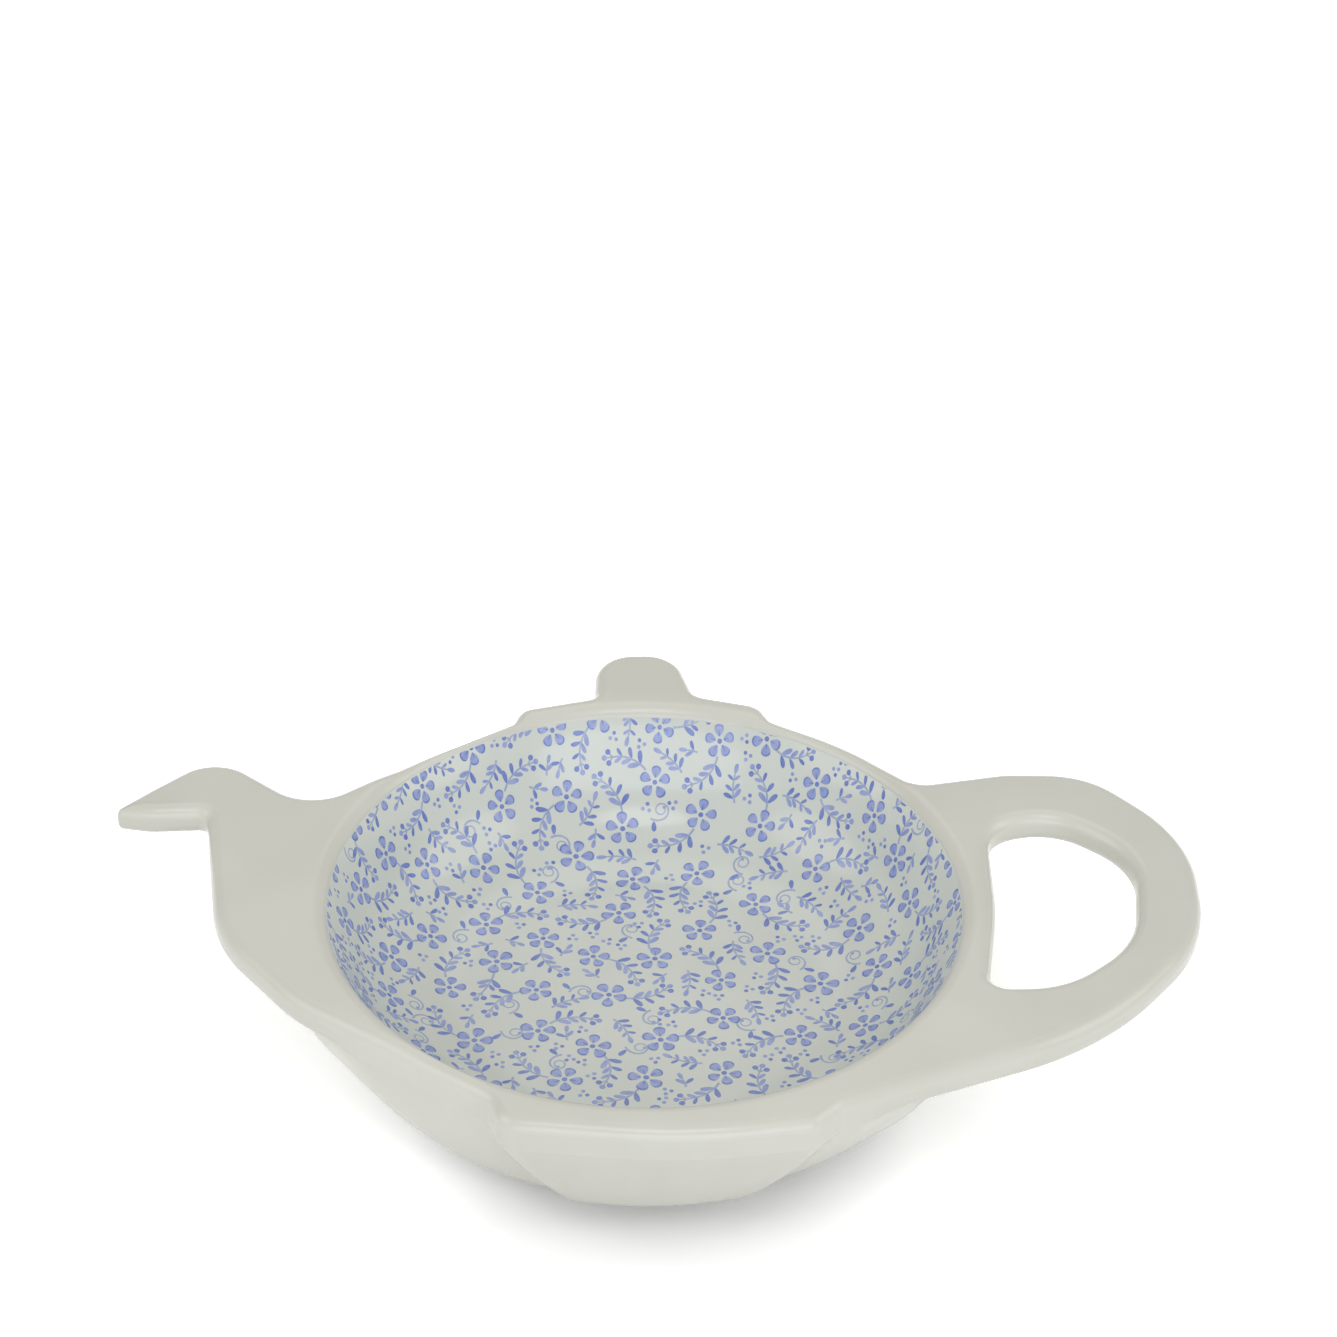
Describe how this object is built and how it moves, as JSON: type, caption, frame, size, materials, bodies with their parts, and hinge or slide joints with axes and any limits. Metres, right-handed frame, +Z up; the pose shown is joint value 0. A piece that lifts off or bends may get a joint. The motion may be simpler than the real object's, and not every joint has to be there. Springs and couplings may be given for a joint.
{
  "type": "tea bag rest",
  "caption": "Shallow round glazed dish with a flat rim cut in the outline of a teapot, with spout, handle, lid and knob, for resting used tea bags.",
  "frame": {"origin": "on the table, under the middle of the dish's whole outline", "axes": "+Z up, +X towards the handle, +Y towards the lid and knob"},
  "size_m": [0.1628, 0.1173, 0.025],
  "materials": {
    "biscuit": "matt white earthenware, bare on the foot ring's sole",
    "print": "blue floral transfer print on a white ground, under the glaze",
    "glaze": "glossy warm white glaze"
  },
  "bodies": {
    "root": {"dish_body": "biscuit", "floral_print": "print", "glaze_coat": "glaze"}
  },
  "joints": []
}
